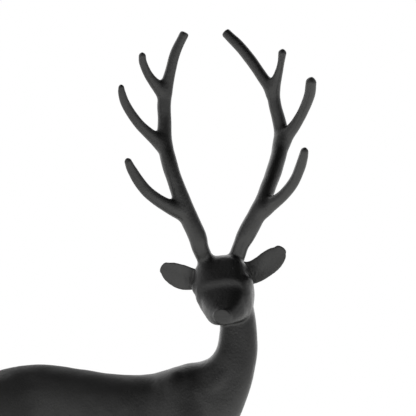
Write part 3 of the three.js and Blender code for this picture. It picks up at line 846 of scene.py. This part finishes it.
def blackened_cast_iron():
    """Sand-cast iron under a thin matt black coat: near black, with the dull sheen and orange-peel skin of
    the casting showing through.

    It is duller over the back and the quarters, and a little smoother on the head and antlers."""
    material = bpy.data.materials.new("Blackened cast iron")
    material.use_nodes = True
    tree = material.node_tree
    tree.nodes.clear()
    place = node_with(tree, "ShaderNodeTexCoord").outputs["Object"]

    patches, mottle, skin_bump = (
        node_with(
            tree,
            "ShaderNodeTexNoise",
            {"Vector": place, "Scale": 1 / pitch, "Detail": detail, "Roughness": roughness},
        ).outputs[0]
        for pitch, detail, roughness in ((14 * MM, 4.0, 0.5), (1.6 * MM, 3.0, 0.5), (2 * MM, 5.0, 0.6))
    )
    pits = node_with(tree, "ShaderNodeTexVoronoi", {"Vector": place, "Scale": 1 / (9 * MM)})
    pit_depth = node_with(
        tree,
        "ShaderNodeMapRange",
        {"Value": pits.outputs["Distance"], "From Min": 0.03, "From Max": 0.075},
    )
    # 6 and 7 are the node's two colours, which share their names with its other inputs
    shades = {"Factor": mottle, 6: linear("#101010"), 7: linear("#171717")}
    tone = node_with(tree, "ShaderNodeMix", shades, data_type="RGBA")
    worn = node_with(
        tree,
        "ShaderNodeMapRange",
        {"Value": patches, "From Min": 0.35, "From Max": 0.7, "To Min": 0.4, "To Max": 0.52},
    )
    axes = node_with(tree, "ShaderNodeSeparateXYZ", {0: place}).outputs

    def along(axis, start, end, near, far):
        """A value that goes from near to far between two places on an axis."""
        values = {"Value": axes[axis], "From Min": start, "From Max": end, "To Min": near, "To Max": far}
        return node_with(tree, "ShaderNodeMapRange", values).outputs[0]

    behind = along("X", start=20 * MM, end=65 * MM, near=0.21, far=0.0)
    above = along("Z", start=235 * MM, end=262 * MM, near=0.0, far=-0.05)
    uneven = node_with(tree, "ShaderNodeMath", {0: behind, 1: above}, operation="ADD").outputs[0]
    dull = node_with(tree, "ShaderNodeMath", {0: worn.outputs[0], 1: uneven}, operation="ADD")
    relief = node_with(
        tree,
        "ShaderNodeBump",
        {"Height": skin_bump, "Strength": 0.9, "Distance": 0.35 * MM},
    )
    pitted = node_with(
        tree,
        "ShaderNodeBump",
        {
            "Height": pit_depth.outputs[0],
            "Normal": relief.outputs[0],
            "Strength": 0.5,
            "Distance": 0.4 * MM,
        },
    )
    shader = node_with(
        tree,
        "ShaderNodeBsdfPrincipled",
        {
            "Base Color": tone.outputs[2],
            "Roughness": dull.outputs[0],
            "Normal": pitted.outputs[0],
            "Metallic": 0.0,
            "IOR": 1.8,
        },
    )
    node_with(tree, "ShaderNodeOutputMaterial", {"Surface": shader.outputs[0]})
    return material


class STAG_OT_casting(bpy.types.Operator):
    """Model the stag as one casting, with its hooves, head, ears, antlers and tail"""

    bl_idname = "stag.casting"
    bl_label = "Stag casting"

    def execute(self, context):
        sizes = context.scene.stag_sizes
        material = bpy.data.materials.get("Blackened cast iron") or blackened_cast_iron()
        tree, sides_socket = tube_tree(material)
        pitch = sizes.grain / MM * 1
        points, triangles, quads = modelled_clay(pitch, tree, sides_socket).surface(COAT)
        share = (STAG_BOX[1].z - STAG_BOX[0].z) / (DRAWN_HEIGHT * MM)
        points = np.array(points, float)
        foremost = points[:, 0].max() - COAT  # of the iron, under its coat
        points[:, 2] = np.maximum(points[:, 2], 0)  # the soles stay flat
        points = points * MM * share + (STAG_BOX[1].x - foremost * MM * share, 0, STAG_BOX[0].z)
        faces = [tuple(int(i) for i in f) for f in quads] + [tuple(int(i) for i in f) for f in triangles]
        piece = smooth_object("stag_casting", points, faces, material)
        self.roughen(piece, sizes)
        count = sum(len(p.vertices) - 2 for p in piece.data.polygons)
        if count > sizes.faces:
            thin = piece.modifiers.new("Fewer faces", "DECIMATE")
            thin.ratio = sizes.faces / count
            applied(piece)
        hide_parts("stag")
        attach(piece, "root")
        return {"FINISHED"}

    @staticmethod
    def roughen(piece, sizes):
        """Lets the skin wander from its true form, as sand-cast iron does."""
        mesh = piece.data
        points = np.empty(len(mesh.vertices) * 3)
        mesh.vertices.foreach_get("co", points)
        points = points.reshape(-1, 3)
        normals = np.empty(points.size)
        mesh.vertices.foreach_get("normal", normals)
        height = sizes.waviness * wander(points, sizes.wave_length, SEED)
        points += normals.reshape(-1, 3) * height[:, None]
        mesh.vertices.foreach_set("co", points.ravel())
        mesh.update()


class STAG_OT_base(bpy.types.Operator):
    """Make the low base with half-round ends and rounded edges"""

    bl_idname = "stag.base"
    bl_label = "Base"

    def execute(self, context):
        low, high = BASE_BOX
        edge = context.scene.stag_base.edge
        half_long, half_wide = (high.x - low.x) / 2, (high.y - low.y) / 2
        turn = np.linspace(0, np.pi / 2, EDGE_RINGS)
        inset = np.concatenate([edge * (1 - np.sin(turn)), edge * (1 - np.cos(turn))])
        level = np.concatenate([low.z + edge * (1 - np.cos(turn)), high.z - edge + edge * np.sin(turn)])
        angle = np.linspace(0, 2 * np.pi, BASE_SIDES + 1)[:-1] + np.pi / (2 * BASE_SIDES)
        straight = half_long - half_wide
        shaped = [
            np.stack(
                [
                    np.sign(np.cos(angle)) * straight + (half_wide - i) * np.cos(angle),
                    (half_wide - i) * np.sin(angle),
                    np.full(BASE_SIDES, z),
                ],
                1,
            )
            for i, z in zip(inset, level)
        ]
        points, faces = skin(np.array(shaped))
        material = bpy.data.materials.get("Blackened cast iron") or blackened_cast_iron()
        piece = smooth_object("base_plate", points, faces.tolist(), material)
        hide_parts("base")
        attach(piece, "root")
        return {"FINISHED"}


class STAG_OT_studio(bpy.types.Operator):
    """Set the floor, the light and the camera"""

    bl_idname = "stag.studio"
    bl_label = "Studio"

    def execute(self, context):
        studio = context.scene.stag_studio
        self.floor()
        self.light(context.scene)
        self.camera(context.scene, studio)
        context.scene.view_settings.view_transform = "Standard"
        return {"FINISHED"}

    @staticmethod
    def floor():
        """A pale floor that glows a little, so that it shows as white as the room."""
        mesh = bpy.data.meshes.new("floor")
        corners = [(x * FLOOR_HALF, y * FLOOR_HALF, 0) for x, y in ((-1, -1), (1, -1), (1, 1), (-1, 1))]
        mesh.from_pydata(corners, [], [(0, 1, 2, 3)])
        plain = bpy.data.materials.new("Pale floor")
        plain.use_nodes = True
        shader = plain.node_tree.nodes["Principled BSDF"]
        shader.inputs["Base Color"].default_value = linear("#e8e8e6")
        shader.inputs["Roughness"].default_value = 0.8
        shader.inputs["Emission Color"].default_value = linear("#e8e8e6")
        shader.inputs["Emission Strength"].default_value = 0.7
        mesh.materials.append(plain)
        floor = bpy.data.objects.new("floor", mesh)
        bpy.context.scene.collection.objects.link(floor)
        floor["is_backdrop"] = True

    @staticmethod
    def light(scene):
        """A white room: bright behind the figure, dimmer in front and dark overhead."""
        world = bpy.data.worlds.new("White studio")
        scene.world = world
        world.use_nodes = True
        tree = world.node_tree
        tree.nodes.clear()
        direction = node_with(tree, "ShaderNodeTexCoord").outputs["Generated"]

        def towards(axis, start, end, near, far):
            """A value that goes smoothly from near to far as the direction turns towards an axis."""
            turn = node_with(tree, "ShaderNodeVectorMath", {0: direction, 1: axis}, operation="DOT_PRODUCT")
            values = {
                "Value": turn.outputs["Value"],
                "From Min": start,
                "From Max": end,
                "To Min": near,
                "To Max": far,
            }
            return node_with(tree, "ShaderNodeMapRange", values, interpolation_type="SMOOTHSTEP").outputs[0]

        behind = towards((-0.2, 1, 0), start=0.2, end=0.95, near=0.45, far=1.7)
        overhead = towards((0.18, -0.3, 0.937), start=0.5, end=0.81, near=1.0, far=0.03)
        level = node_with(tree, "ShaderNodeMath", {0: behind, 1: overhead}, operation="MULTIPLY")
        room = node_with(tree, "ShaderNodeBackground", {"Strength": level.outputs[0]})
        card = node_with(tree, "ShaderNodeBackground", {"Strength": 1.0})
        for background in (room, card):
            background.inputs["Color"].default_value = (1, 1, 1, 1)
        seen = node_with(tree, "ShaderNodeLightPath").outputs["Is Camera Ray"]
        mix = node_with(tree, "ShaderNodeMixShader", {0: seen, 1: room.outputs[0], 2: card.outputs[0]})
        node_with(tree, "ShaderNodeOutputWorld", {"Surface": mix.outputs[0]})

    @staticmethod
    def camera(scene, studio):
        """A level camera that looks at the figure's right side."""
        lens = bpy.data.cameras.new("camera")
        lens.lens = lens.sensor_width * studio.distance / studio.shown_width
        lens.clip_end = CAMERA_SEES
        camera = bpy.data.objects.new("camera", lens)
        scene.collection.objects.link(camera)
        camera.location = Vector(studio.aim) - Vector((0, studio.distance, 0))
        camera.rotation_euler = (math.radians(90), 0, 0)
        scene.camera = camera


class STAG_PT_panel(bpy.types.Panel):
    """The stag's sizes and its pieces"""

    bl_idname = "STAG_PT_panel"
    bl_label = "Cast iron stag"
    bl_space_type = "VIEW_3D"
    bl_region_type = "UI"
    bl_category = "Stag"

    def draw(self, context):
        for operator, settings in (
            (STAG_OT_casting, context.scene.stag_sizes),
            (STAG_OT_base, context.scene.stag_base),
            (STAG_OT_studio, context.scene.stag_studio),
        ):
            box = self.layout.box()
            for name in settings.bl_rna.properties.keys():
                if name not in ("rna_type", "name"):
                    box.prop(settings, name)
            box.operator(operator.bl_idname)


CLASSES = (StagSizes, BaseSizes, StudioSizes, STAG_OT_casting, STAG_OT_base, STAG_OT_studio, STAG_PT_panel)


def register():
    for entry in CLASSES:
        bpy.utils.register_class(entry)
    bpy.types.Scene.stag_sizes = PointerProperty(type=StagSizes)
    bpy.types.Scene.stag_base = PointerProperty(type=BaseSizes)
    bpy.types.Scene.stag_studio = PointerProperty(type=StudioSizes)


def unregister():
    del bpy.types.Scene.stag_studio
    del bpy.types.Scene.stag_base
    del bpy.types.Scene.stag_sizes
    for entry in reversed(CLASSES):
        bpy.utils.unregister_class(entry)


def main():
    """Builds the studio and the pieces."""
    register()
    bpy.ops.stag.studio()
    bpy.ops.stag.casting()
    bpy.ops.stag.base()
    boxes = {"cad": CAD_BOX, "visual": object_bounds()}
    boxes = {name: [list(corner) for corner in box] for name, box in boxes.items()}


if __name__ == "__main__":
    main()
